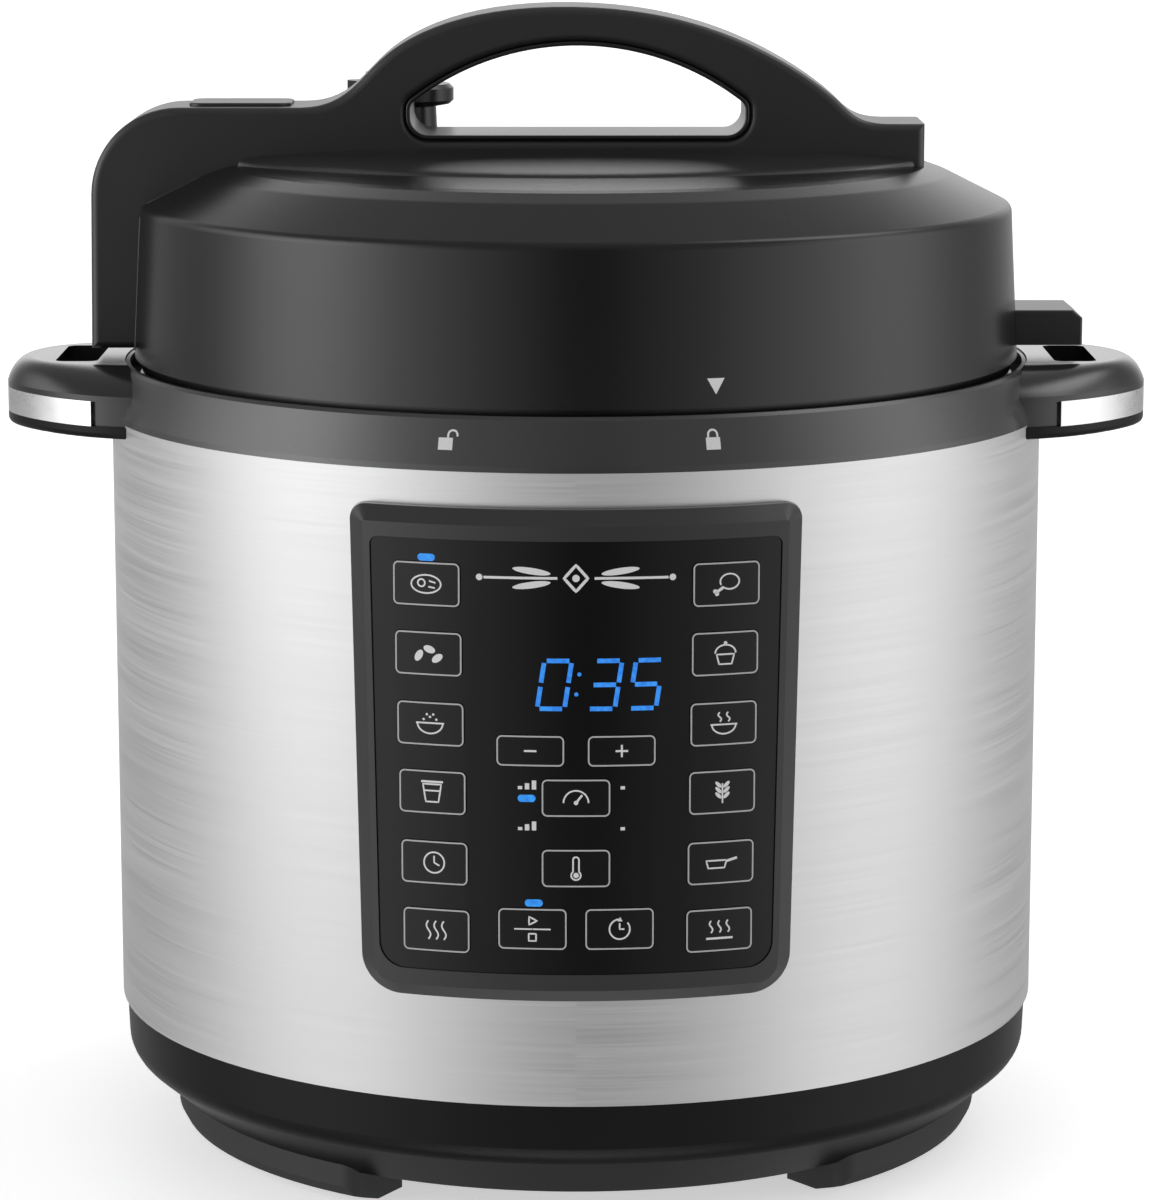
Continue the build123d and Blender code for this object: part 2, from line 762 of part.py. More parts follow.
def lid_shell():
    """Outer lid: drafted wall, shallow cone, raised crest and flat top."""
    inside = turned(
        [
            (0, LID_BOTTOM - 4),
            (126.5, LID_BOTTOM - 4),
            (LID_SHOULDER_RADIUS - LID_WALL - 0.4, LID_SHOULDER - 1.6),
            (LID_CONE_TOP[0] - 1.0, LID_CONE_TOP[1] - LID_WALL),
            (99.0, LID_TOP - LID_WALL),
            (0, LID_TOP - LID_WALL),
        ]
    )
    lip = tube(126.4, 129.6, LID_BOTTOM - 3.5, LID_BOTTOM + 1)
    shell = lid_envelope() + lip - inside
    for x, y in lid_boss_places():
        shell += disc(5.0, LID_PLATE_TOP, LID_TOP - 1.0, x, y)
        shell -= disc(1.5, LID_PLATE_TOP - 1, LID_PLATE_TOP + 14, x, y)
    shell -= disc(5.2, 270, 300, VALVE_X, VALVE_Y)
    shell -= disc(3.3, 270, 300, FLOAT_X, FLOAT_Y)
    return shell


def grip_profile():
    """Side view of the lid's handle: left arm, flat shelf, arch and right end, in X and Z."""
    shelf_end, arm_top = (-81.0, 307.4), (-142.3, 307.4)
    arm = Polyline((-120.0, 236.5), (-143.3, 236.5), arm_top, shelf_end)
    arch = Spline(
        shelf_end,
        (-57.6, 321.0),
        (0.0, HANDLE_TOP),
        (60.5, 320.9),
        (77.5, 308.8),
        (92.0, 302.6),
        tangents=((1, 0), (1, 0)),
    )
    rest = Polyline((92.0, 302.6), (102.3, 302.6), (102.3, 280.0), (-120.0, 280.0), (-120.0, 236.5))
    face = make_face(list(arm.edges()) + [arch] + list(rest.edges()))
    corner = face.vertices().sort_by_distance((*arm_top, 0))[0]
    return fillet(corner, 26.0)


def window_profile():
    """Opening for the fingers, in X and Z: a straight floor under a shallow arch."""
    left, right, floor_z, spring_z, crown_z = -48.6, 49.6, 299.4, 308.4, 325.5
    sides = Polyline((left, spring_z), (left, floor_z), (right, floor_z), (right, spring_z))
    roof = ThreePointArc((right, spring_z), ((left + right) / 2, crown_z), (left, spring_z))
    face = make_face(list(sides.edges()) + [roof])
    face = fillet(face.vertices().group_by(Axis.Y)[0], 5.4)
    return fillet(face.vertices().group_by(Axis.Y)[-1], 3.0)


def fairing():
    """Concave foot of the handle that spreads over the lid's top, widest in the middle."""
    sections = []
    end_x, end_y = FAIRING_END
    for height, half_width in FAIRING:
        near = ThreePointArc((-end_x, -end_y), (0, -half_width), (end_x, -end_y))
        far = ThreePointArc((end_x, end_y), (0, half_width), (-end_x, end_y))
        ends = [Line((end_x, -end_y), (end_x, end_y)), Line((-end_x, end_y), (-end_x, -end_y))]
        sections.append(Pos(0, 0, height) * make_face([near, ends[0], far, ends[1]]))
    return loft(sections)


def shelf_pad():
    """Low raised pad on the shelf above the left arm."""
    pad = Pos(-99, 0, 307.2) * extrude(RectangleRounded(30, 22, 4), 1.2)
    return fillet(pad.faces().sort_by(Axis.Z)[-1].edges(), 0.5)


def handle_liner():
    """Lining of the finger opening, which stands a little proud of both flanks."""
    ring = offset(window_profile(), LINER_WALL) - window_profile()
    liner = extrude(Plane.XZ * ring, GRIP_HALF_WIDTH + LINER_PROUD, both=True)
    return fillet(liner.faces().filter_by(Plane.XZ).edges(), 0.45)


def lid_handle():
    """Arched handle with a finger opening; its left arm runs down beside the lid's wall."""
    bar = extrude(Plane.XZ * grip_profile(), GRIP_HALF_WIDTH, both=True)
    opening = offset(window_profile(), LINER_WALL)
    bar -= extrude(Plane.XZ * opening, GRIP_HALF_WIDTH + 5, both=True)
    flanks = bar.faces().filter_by(Plane.XZ).edges()
    exposed = [edge for edge in flanks if edge.center().Z > LID_TOP or edge.center().X < -LID_BOTTOM_RADIUS]
    bar = fillet(exposed, GRIP_EDGE)
    bar += shelf_pad()
    bar += fairing()
    bar -= lid_envelope()
    bar -= disc(VALVE_WELL, 280, 330, VALVE_X, VALVE_Y)
    bar -= disc(7.0, 280, 330, FLOAT_X, FLOAT_Y)
    return bar


def lid_plate():
    """Pressed steel pressure lid: raised middle, down-turned skirt and outward lugs."""
    plate = turned(
        [
            (0, LID_PLATE_TOP - SHEET),
            (94.0, LID_PLATE_TOP - SHEET),
            (106.5, 236.0),
            (117.0, 232.8),
            (117.0, LID_LUG_Z[0]),
            (118.3, LID_LUG_Z[0]),
            (118.3, 233.8),
            (107.0, 237.3),
            (94.6, LID_PLATE_TOP),
            (0, LID_PLATE_TOP),
        ]
    )
    for lug in lugs(118.0, LID_LUG_OUT, *LID_LUG_Z, 0.0):
        plate += lug
    plate -= disc(5.2, 230, 260, VALVE_X, VALVE_Y)
    plate -= disc(3.3, 230, 260, FLOAT_X, FLOAT_Y)
    for x, y in lid_boss_places():
        plate -= disc(1.9, 230, 260, x, y)
    return plate


def lid_screws():
    """Three screws that hold the pressure lid to the outer lid."""
    under = LID_PLATE_TOP - SHEET
    screws = []
    for x, y in lid_boss_places():
        screws.append(disc(3.4, under - 2.0, under, x, y) + disc(1.45, under, under + 13, x, y))
    return screws


def sealing_ring():
    """Silicone ring with a channel section, over the pot's rim."""
    bottom = POT_RIM_TOP + MOVING_GAP
    ring = turned(
        [
            (109.4, bottom + 1.0),
            (110.4, bottom),
            (115.6, bottom),
            (116.6, bottom + 1.0),
            (116.6, bottom + 11.0),
            (114.0, bottom + 11.0),
            (114.0, bottom + 7.6),
            (112.2, bottom + 7.6),
            (112.2, bottom + 10.0),
            (109.4, bottom + 10.0),
        ]
    )
    return ring


def gasket_rack():
    """Wire ring inside the sealing ring, on three short stays from the pressure lid."""
    rack = Pos(0, 0, 227.0) * Torus(107.0, 1.5)
    for azimuth in (0, 120, 240):
        x, y, _ = place(azimuth, 104.6)
        rack += Pos(x, y, 0) * Rot(0, 0, azimuth) * block((-4, -1.6, 226.0), (4, 1.0, 236.4))
    return rack - lid_plate()


def steam_valve_stem():
    """Hollow steam pipe from the pressure lid up through the outer lid."""
    bore, outside, foot, top = 1.6, 5.0, 8.0, 300.6
    stem = turned(
        [
            (bore, 243.0), (foot, 243.0), (foot, 244.8), (outside, 244.8),
            (outside, top - 1.6), (outside - 1.0, top), (bore, top),
        ]
    )
    return Pos(VALVE_X, VALVE_Y, 0) * stem


def anti_block_shield():
    """Vented cap under the steam pipe that keeps food out of it."""
    outside, inside, bottom, top = 12.0, 10.6, 230.5, 243.0
    cap = turned(
        [
            (0, bottom), (outside - 1.0, bottom), (outside, bottom + 1.0), (outside, top),
            (inside, top), (inside, bottom + 1.5), (0, bottom + 1.5),
        ]
    )
    cap += tube(8.2, 11.0, top - 1.4, top)
    for azimuth in range(0, 360, 45):
        cap -= extrude(facing(azimuth, 5, 237.0) * SlotOverall(6.0, 2.4, rotation=90), 10)
    return Pos(VALVE_X, VALVE_Y, 0) * cap


def steam_valve_knob():
    """Turning knob of the steam valve: round skirt, flat cap and a thumb lever."""
    top = 310.5
    knob = turned(
        [
            (5.3, LID_TOP + 0.4), (9.6, LID_TOP + 0.4), (9.0, 303.6), (13.2, 304.4), (14.4, 305.6),
            (14.4, top - 1.2), (13.2, top), (0, top), (0, 301.2), (5.3, 301.2),
        ]
    )
    lever = block((-7.0, 6.0, 304.6), (7.0, 26.0, top))
    lever = fillet(lever.edges().filter_by(Axis.Z), 4.0)
    grip = block((-1.6, -10.0, top - 0.2), (1.6, 21.0, top + 2.6))
    return Pos(VALVE_X, VALVE_Y, 0) * Rot(0, 0, 35) * (knob + lever + grip)


def float_valve():
    """Pin that steam pressure lifts, with a stop flange under the pressure lid."""
    pin = turned(
        [
            (0, 234.0), (6.0, 234.0), (6.0, 235.6), (3.0, 236.4), (3.0, LID_TOP - 1.4), (2.4, LID_TOP - 0.8),
            (0, LID_TOP - 0.8),
        ]
    )
    return Pos(FLOAT_X, FLOAT_Y, 0) * pin


# ---- drip cup ----


def behind_sleeve(clearance):
    """Space taken by the body, grown by a clearance, for cutting pieces to its round back."""
    return disc(BODY_RADIUS + clearance, 100, SLEEVE_TOP)


def cup_bracket():
    """Two rails on the sleeve that the drip cup slides along."""
    rails = []
    for side in (-1, 1):
        rail = block((33.4, 110, 198.0), (37.6, REAR_Y, 210.0))
        rail -= block((33.0, 110, 202.4), (35.8, REAR_Y + 1, 205.6))
        rail -= behind_sleeve(0.0)
        rails.append(rail if side > 0 else left_of(rail))
    return rails


def drip_cup():
    """Clear cup for condensed water, with a flange on each side and an open top."""
    low, high = CUP_Z
    gap = 0.5
    cup = block((-CUP_HALF_WIDTH - 1.6, 110, low), (CUP_HALF_WIDTH + 1.6, REAR_Y, high - 3.0))
    cup = fillet(cup.edges().filter_by(Axis.Z), 3.0)
    cup = fillet(cup.faces().sort_by(Axis.Z)[0].edges(), 2.0)
    hollow = block((-CUP_HALF_WIDTH, 110, low + CUP_WALL), (CUP_HALF_WIDTH, REAR_Y - CUP_WALL, high))
    hollow = fillet(hollow.edges().filter_by(Axis.Z), 2.0)
    cup -= behind_sleeve(gap)
    cup -= hollow - behind_sleeve(gap + CUP_WALL)
    flanges = block((-35.4, 110, 202.8), (35.4, REAR_Y - 2, 205.2)) - behind_sleeve(gap)
    return cup + (flanges - hollow - block((-CUP_HALF_WIDTH, 100, 200), (CUP_HALF_WIDTH, 160, 210)))


# ---- writing the parts ----


def pieces():
    """Every node's solid, or list of solids, by name."""
    handle = side_handle()
    trim = handle_trim()
    cover = handle_cover()
    made = {
        "base_shell": base_shell(),
        "bottom_cover": bottom_cover(),
        "base_screws": base_screws(),
        "foot_pads": foot_pads(),
        "steel_sleeve": steel_sleeve(),
        "top_collar": top_collar(),
        "handle_right": handle,
        "handle_left": left_of(handle),
        "handle_trims": [trim, left_of(trim)],
        "handle_covers": [cover, left_of(cover)],
        "lock_ring": lock_ring(),
        "outer_pot": outer_pot(),
        "inner_pot": inner_pot(),
        "heating_plate": heating_plate(),
        "heating_element": heating_element(),
        "temperature_sensor": temperature_sensor(),
        "sensor_spring": sensor_spring(),
        "thermal_fuse": thermal_fuse(),
        "pressure_switch": pressure_switch(),
        "power_board": power_board(),
        "power_board_parts": power_board_parts(),
        "power_inlet": power_inlet(),
        "inlet_pins": inlet_pins(),
        "panel_bezel": panel_bezel(),
        "panel_overlay": panel_overlay(),
        "indicator_lights": indicator_lights(),
        "display_module": display_module(),
        "key_switches": key_switches(),
        "control_board": control_board(),
        "cup_bracket": cup_bracket(),
        "drip_cup": drip_cup(),
        "lid_shell": lid_shell(),
        "lid_handle": [lid_handle(), lid_tab()],
        "handle_liner": handle_liner(),
        "lid_plate": lid_plate(),
        "lid_screws": lid_screws(),
        "sealing_ring": sealing_ring(),
        "gasket_rack": gasket_rack(),
        "steam_valve_stem": steam_valve_stem(),
        "anti_block_shield": anti_block_shield(),
        "steam_valve_knob": steam_valve_knob(),
        "float_valve": float_valve(),
    }
    for name, spec in key_table().items():
        made["key_" + name] = key(spec)
    return made


os.makedirs("parts", exist_ok=True)
for node, made in pieces().items():
    group = made if isinstance(made, list) else [made]
    solids = [solid for piece in group for solid in piece.solids()]
    export_step(Compound(children=solids) if len(solids) > 1 else solids[0], f"parts/{node}.step")
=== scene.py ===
import json
import math

import bpy
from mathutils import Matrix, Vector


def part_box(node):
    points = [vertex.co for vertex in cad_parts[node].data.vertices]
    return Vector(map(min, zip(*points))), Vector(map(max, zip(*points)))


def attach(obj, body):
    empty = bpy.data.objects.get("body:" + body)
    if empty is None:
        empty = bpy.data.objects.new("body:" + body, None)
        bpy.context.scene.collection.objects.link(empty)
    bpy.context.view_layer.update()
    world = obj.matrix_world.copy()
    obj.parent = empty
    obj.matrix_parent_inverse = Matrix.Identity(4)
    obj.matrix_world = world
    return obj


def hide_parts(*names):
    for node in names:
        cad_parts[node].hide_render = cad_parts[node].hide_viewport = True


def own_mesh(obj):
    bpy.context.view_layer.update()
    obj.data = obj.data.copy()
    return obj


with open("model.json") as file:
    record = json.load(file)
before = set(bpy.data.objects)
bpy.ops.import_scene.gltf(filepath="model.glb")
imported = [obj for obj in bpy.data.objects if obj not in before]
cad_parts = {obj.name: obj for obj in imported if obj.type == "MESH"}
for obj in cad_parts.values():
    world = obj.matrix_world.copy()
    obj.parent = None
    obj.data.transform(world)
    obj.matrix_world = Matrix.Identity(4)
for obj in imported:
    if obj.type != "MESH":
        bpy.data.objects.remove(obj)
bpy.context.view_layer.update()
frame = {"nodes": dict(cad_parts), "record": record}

MM = 0.001

# Radii and heights of the surfaces that carry printed marks, in millimetres
OVERLAY_RADIUS = 145.0
KEY_RADIUS = 145.25
COLLAR_FOOT = (138.9, 219.6)
COLLAR_HEAD = (135.0, 231.7)
LID_FOOT = (131.5, 234.1)
LID_HEAD = (129.1, 278.4)
LID_CONE = (110.4, 287.8)
ARM_HALF_WIDTH = 17.0
BEAD = 0.35                 # radius of the bead beside the handle's arm
INK = 0.05                  # how far a printed mark stands off its surface
INK_DEPTH = 0.10            # thickness of a printed mark
STEP = 0.8                  # longest straight stretch of a mark on a round surface

KEY_ROWS = (188.0, 168.9, 149.5, 130.5, 110.8, 91.8)
LEFT_KEYS = ("meat", "beans", "rice", "yogurt", "slow", "steam")
RIGHT_KEYS = ("poultry", "dessert", "soup", "grain", "saute", "warm")
LEFT_AZIMUTHS = (-16.19, -15.28)
RIGHT_AZIMUTHS = (16.29, 15.69)
OUTLINE_INSET = 0.5         # how much smaller than its key an outline is
OUTLINE_CORNER = 1.3
OUTLINE_WIDTH = 0.42
CLOCK_PLACE = (2.4, 161.3)  # azimuth and height of the middle of the clock
ORNAMENT_Z = 190.5
LEVELS_Z = 130.0
LEVEL_HEIGHTS = (133.3, 121.9)
ARROW_PLACE = (16.8, 239.9)
PADLOCKS = (("closed", 15.7, 0.0), ("open", -14.9, 1.9))    # name, azimuth, shackle's swing
PADLOCK_Z = 226.2


# ---- materials ----


def material(name, colour, roughness, metallic=0.0, coat=0.0, specular=0.5):
    """A Principled material, and its node tree and shader for adding texture to."""
    made = bpy.data.materials.new(name)
    made.use_nodes = True
    tree = made.node_tree
    shader = tree.nodes["Principled BSDF"]
    shader.inputs["Base Color"].default_value = (*colour, 1.0)
    shader.inputs["Roughness"].default_value = roughness
    shader.inputs["Metallic"].default_value = metallic
    shader.inputs["Specular IOR Level"].default_value = specular
    shader.inputs["Coat Weight"].default_value = coat
    shader.inputs["Coat Roughness"].default_value = 0.12
    return made, tree, shader


def noise(tree, scale, stretch=(1, 1, 1), detail=4.0, coordinates=None):
    """A noise texture in the object's own metres, stretched along its axes."""
    mapping = tree.nodes.new("ShaderNodeMapping")
    mapping.inputs["Scale"].default_value = stretch
    if coordinates is None:
        coordinates = tree.nodes.new("ShaderNodeTexCoord").outputs["Object"]
    tree.links.new(coordinates, mapping.inputs["Vector"])
    texture = tree.nodes.new("ShaderNodeTexNoise")
    texture.inputs["Scale"].default_value = scale
    texture.inputs["Detail"].default_value = detail
    tree.links.new(mapping.outputs["Vector"], texture.inputs["Vector"])
    return texture.outputs["Fac"]


def spread(tree, value, low, high):
    """The value mapped from the middle of its range on to low..high."""
    node = tree.nodes.new("ShaderNodeMapRange")
    node.inputs["From Min"].default_value = 0.3
    node.inputs["From Max"].default_value = 0.7
    node.inputs["To Min"].default_value = low
    node.inputs["To Max"].default_value = high
    tree.links.new(value, node.inputs["Value"])
    return node.outputs["Result"]


def tint(tree, value, dark, light):
    """A colour ramp between two colours."""
    ramp = tree.nodes.new("ShaderNodeValToRGB")
    ramp.color_ramp.elements[0].position = 0.3
    ramp.color_ramp.elements[0].color = (*dark, 1.0)
    ramp.color_ramp.elements[1].position = 0.7
    ramp.color_ramp.elements[1].color = (*light, 1.0)
    tree.links.new(value, ramp.inputs["Fac"])
    return ramp.outputs["Color"]


def bump(tree, shader, value, distance, strength=0.5):
    """Fine relief from a value."""
    node = tree.nodes.new("ShaderNodeBump")
    node.inputs["Strength"].default_value = strength
    node.inputs["Distance"].default_value = distance
    tree.links.new(value, node.inputs["Height"])
    tree.links.new(node.outputs["Normal"], shader.inputs["Normal"])


def moulded(name, colour, roughness, grain=1800.0, relief=0.00002, coat=0.0, vary=0.05, specular=0.5):
    """Moulded plastic: fine grain, with slow changes in its gloss and shade."""
    made, tree, shader = material(name, colour, roughness, coat=coat, specular=specular)
    slow = noise(tree, 9.0, detail=3.0)
    dark = [part * 0.85 for part in colour]
    light = [min(part * 1.15, 1.0) for part in colour]
    tree.links.new(tint(tree, slow, dark, light), shader.inputs["Base Color"])
    gloss = noise(tree, 14.0, detail=1.0)
    tree.links.new(spread(tree, gloss, roughness - vary, roughness + vary), shader.inputs["Roughness"])
    bump(tree, shader, noise(tree, grain, detail=2.0), relief)
    return made


def round_coordinates(tree):
    """Coordinates that run round the upright axis and up it, in metres."""
    place = tree.nodes.new("ShaderNodeTexCoord")
    split = tree.nodes.new("ShaderNodeSeparateXYZ")
    tree.links.new(place.outputs["Object"], split.inputs["Vector"])
    angle = tree.nodes.new("ShaderNodeMath")
    angle.operation = "ARCTAN2"
    tree.links.new(split.outputs["X"], angle.inputs[0])
    tree.links.new(split.outputs["Y"], angle.inputs[1])
    radius = tree.nodes.new("ShaderNodeVectorMath")
    radius.operation = "LENGTH"
    flat = tree.nodes.new("ShaderNodeCombineXYZ")
    tree.links.new(split.outputs["X"], flat.inputs["X"])
    tree.links.new(split.outputs["Y"], flat.inputs["Y"])
    tree.links.new(flat.outputs["Vector"], radius.inputs[0])
    joined = tree.nodes.new("ShaderNodeCombineXYZ")
    tree.links.new(angle.outputs["Value"], joined.inputs["X"])
    tree.links.new(radius.outputs["Value"], joined.inputs["Y"])
    tree.links.new(split.outputs["Z"], joined.inputs["Z"])
    return joined.outputs["Vector"]


def brushed(name, colour, roughness, anisotropic, depth=0.08, relief=0.00001):
    """Metal brushed round the upright axis, in lines of uneven depth."""
    made, tree, shader = material(name, colour, roughness, metallic=1.0)
    shader.inputs["Anisotropic"].default_value = anisotropic
    tangent = tree.nodes.new("ShaderNodeTangent")
    tangent.direction_type = "RADIAL"
    tangent.axis = "Z"
    tree.links.new(tangent.outputs["Tangent"], shader.inputs["Tangent"])
    around = round_coordinates(tree)
    fine = noise(tree, 1.0, (2.2, 1800.0, 2600.0), 3.0, around)
    broad = noise(tree, 1.0, (0.8, 260.0, 300.0), 3.0, around)
    mixed = tree.nodes.new("ShaderNodeMath")
    mixed.operation = "MULTIPLY_ADD"
    mixed.inputs[1].default_value = 0.6
    tree.links.new(fine, mixed.inputs[0])
    halved = tree.nodes.new("ShaderNodeMath")
    halved.operation = "MULTIPLY"
    halved.inputs[1].default_value = 0.4
    tree.links.new(broad, halved.inputs[0])
    tree.links.new(halved.outputs["Value"], mixed.inputs[2])
    lines = mixed.outputs["Value"]
    dark = [part * (1.0 - depth) for part in colour]
    light = [min(part * (1.0 + depth), 1.0) for part in colour]
    tree.links.new(tint(tree, lines, dark, light), shader.inputs["Base Color"])
    tree.links.new(spread(tree, lines, roughness - 0.05, roughness + 0.06), shader.inputs["Roughness"])
    bump(tree, shader, lines, relief, 0.35)
    return made


def cast_metal(name, colour, roughness):
    """Cast or pressed metal with a slightly mottled face."""
    made, tree, shader = material(name, colour, roughness, metallic=1.0)
    mottle = noise(tree, 120.0)
    dark = [part * 0.86 for part in colour]
    tree.links.new(tint(tree, mottle, dark, colour), shader.inputs["Base Color"])
    gloss = spread(tree, noise(tree, 400.0), roughness - 0.06, roughness + 0.08)
    tree.links.new(gloss, shader.inputs["Roughness"])
    bump(tree, shader, noise(tree, 900.0), 0.00002)
    return made


def circuit_board(name):
    """Green board with paler tracks."""
    made, tree, shader = material(name, (0.02, 0.12, 0.05), 0.35, coat=0.4)
    brick = tree.nodes.new("ShaderNodeTexBrick")
    brick.inputs["Scale"].default_value = 160.0
    brick.inputs["Color1"].default_value = (0.015, 0.10, 0.04, 1)
    brick.inputs["Color2"].default_value = (0.02, 0.13, 0.055, 1)
    brick.inputs["Mortar"].default_value = (0.06, 0.26, 0.11, 1)
    brick.inputs["Mortar Size"].default_value = 0.05
    place = tree.nodes.new("ShaderNodeTexCoord")
    tree.links.new(place.outputs["Object"], brick.inputs["Vector"])
    tree.links.new(brick.outputs["Color"], shader.inputs["Base Color"])
    bump(tree, shader, brick.outputs["Fac"], 0.00003)
    return made


def clear_plastic(name):
    """Smoky clear moulding."""
    made, tree, shader = material(name, (0.80, 0.85, 0.87), 0.08)
    shader.inputs["Transmission Weight"].default_value = 0.92
    shader.inputs["IOR"].default_value = 1.45
    tree.links.new(spread(tree, noise(tree, 90.0), 0.05, 0.12), shader.inputs["Roughness"])
    bump(tree, shader, noise(tree, 60.0, detail=1.0), 0.00004, 0.2)
    return made


def silicone(name):
    """Milky rubber with a soft sheen."""
    made, tree, shader = material(name, (0.62, 0.64, 0.63), 0.45)
    shader.inputs["Subsurface Weight"].default_value = 0.3
    shader.inputs["Subsurface Radius"].default_value = (0.004, 0.004, 0.004)
    tree.links.new(spread(tree, noise(tree, 300.0), 0.38, 0.52), shader.inputs["Roughness"])
    bump(tree, shader, noise(tree, 1500.0), 0.00002)
    return made


def lit(name, core, edge, strength):
    """Glowing plastic, a little uneven as a diffuser is."""
    made, tree, shader = material(name, [part * 0.2 for part in core], 0.4)
    shader.inputs["Emission Strength"].default_value = strength
    glow = tint(tree, noise(tree, 700.0, detail=1.0), edge, core)
    tree.links.new(glow, shader.inputs["Emission Color"])
    return made


def ink(name, colour):
    """Printed ink, slightly uneven."""
    made, tree, shader = material(name, colour, 0.5)
    dark = [part * 0.9 for part in colour]
    tree.links.new(tint(tree, noise(tree, 3000.0), dark, colour), shader.inputs["Base Color"])
    return made


MATERIALS = {
    "black_base": moulded("black_base", (0.004, 0.004, 0.0045), 0.3, 2200.0, specular=0.2),
    "rubber": moulded("rubber", (0.02, 0.02, 0.02), 0.62, 1500.0, 0.00004),
    "steel_sleeve": brushed("steel_sleeve", (0.75, 0.75, 0.755), 0.37, 0.77, 0.03),
    "collar": moulded("collar", (0.030, 0.030, 0.032), 0.30, 1500.0, specular=0.9),
    "gloss_black": moulded("gloss_black", (0.018, 0.018, 0.019), 0.2, 900.0, 0.00001, 0.3, 0.03),
    "satin_black": moulded("satin_black", (0.006, 0.006, 0.0063), 0.27, 2600.0, 0.00001, 0.0, 0.015, 0.55),
    "trim": brushed("trim", (0.86, 0.86, 0.865), 0.3, 0.3, 0.04),
    "steel": brushed("steel", (0.66, 0.66, 0.67), 0.28, 0.5, 0.06),
    "pot_steel": brushed("pot_steel", (0.70, 0.70, 0.71), 0.22, 0.6, 0.07),
    "aluminium": cast_metal("aluminium", (0.72, 0.72, 0.73), 0.38),
    "element": cast_metal("element", (0.16, 0.15, 0.14), 0.55),
    "bezel": moulded("bezel", (0.030, 0.030, 0.032), 0.33, 1500.0),
    "overlay": moulded("overlay", (0.005, 0.005, 0.006), 0.2, 2600.0, 0.000004, 0.0, 0.03, 0.36),
    "key": moulded("key", (0.0065, 0.0065, 0.0075), 0.22, 2600.0, 0.000004, 0.0, 0.03, 0.38),
    "light": lit("light", (0.03, 0.30, 0.80), (0.01, 0.16, 0.62), 1.0),
    "board": circuit_board("board"),
    "component": moulded("component", (0.03, 0.03, 0.032), 0.45, 800.0),
    "membrane": moulded("membrane", (0.42, 0.34, 0.16), 0.4, 500.0),
    "contact": cast_metal("contact", (0.80, 0.62, 0.32), 0.3),
    "spring_steel": cast_metal("spring_steel", (0.55, 0.55, 0.56), 0.22),
    "silicone": silicone("silicone"),
    "cup": clear_plastic("cup"),
    "screw": cast_metal("screw", (0.50, 0.50, 0.52), 0.28),
}
NODE_MATERIALS = {
    "lid_handle": moulded("handle_black", (0.027, 0.027, 0.028), 0.33, 2400.0, 0.00001, 0.0, 0.02, 0.6),
    "handle_liner": moulded("liner_black", (0.014, 0.014, 0.015), 0.30, 2400.0, 0.00001, 0.0, 0.02, 0.5),
}
PRINT = {
    "white": ink("ink_white", (0.82, 0.82, 0.82)),
    "grey": ink("ink_grey", (0.52, 0.52, 0.52)),
    "digits": lit("digits", (0.035, 0.27, 0.80), (0.012, 0.15, 0.62), 1.0),
}


def dress_cad():
    """Give every CAD node its own material, or else that of its record slot."""
    slots = {entry["node"]: entry["material_slot"] for entry in frame["record"]["subparts"]}
    for name, node in frame["nodes"].items():
        node.data.materials.clear()
        node.data.materials.append(NODE_MATERIALS.get(name, MATERIALS[slots[name]]))


# ---- printed marks ----


def overlay_radius(_):
    return OVERLAY_RADIUS


def key_radius(_):
    return KEY_RADIUS


def slanted(foot, head):
    """Radius by height on a cone."""
    def radius(height):
        share = (height - foot[1]) / (head[1] - foot[1])
        return foot[0] + share * (head[0] - foot[0])
    return radius


def wrapped(azimuth, height, radius_at, across, up, lift):
    """Point of a mark, in metres: its flat place (across, up) rolled on to a round surface."""
    z = height + up
    radius = radius_at(z)
    angle = math.radians(azimuth) + across / radius
    radius += lift
    return (radius * math.sin(angle) * MM, -radius * math.cos(angle) * MM, z * MM)


def resampled(points, closed):
    """The points of a line with none further apart than STEP."""
    ends = points + [points[0]] if closed else points
    dense = []
    for (x0, y0), (x1, y1) in zip(ends, ends[1:]):
        count = max(1, math.ceil(math.hypot(x1 - x0, y1 - y0) / STEP))
        for index in range(count):
            share = index / count
            dense.append((x0 + share * (x1 - x0), y0 + share * (y1 - y0)))
    if not closed:
        dense.append(ends[-1])
    return dense


def rails(points, width, closed):
    """The two edges of a line of some width."""
    count = len(points)
    left, right = [], []
    for index, (x, y) in enumerate(points):
        before = points[index - 1] if closed or index else points[index]
        after = points[(index + 1) % count] if closed or index + 1 < count else points[index]
        run_x, run_y = after[0] - before[0], after[1] - before[1]
        length = math.hypot(run_x, run_y) or 1.0
        out_x, out_y = -run_y / length * width / 2, run_x / length * width / 2
        left.append((x + out_x, y + out_y))
        right.append((x - out_x, y - out_y))
    return left, right


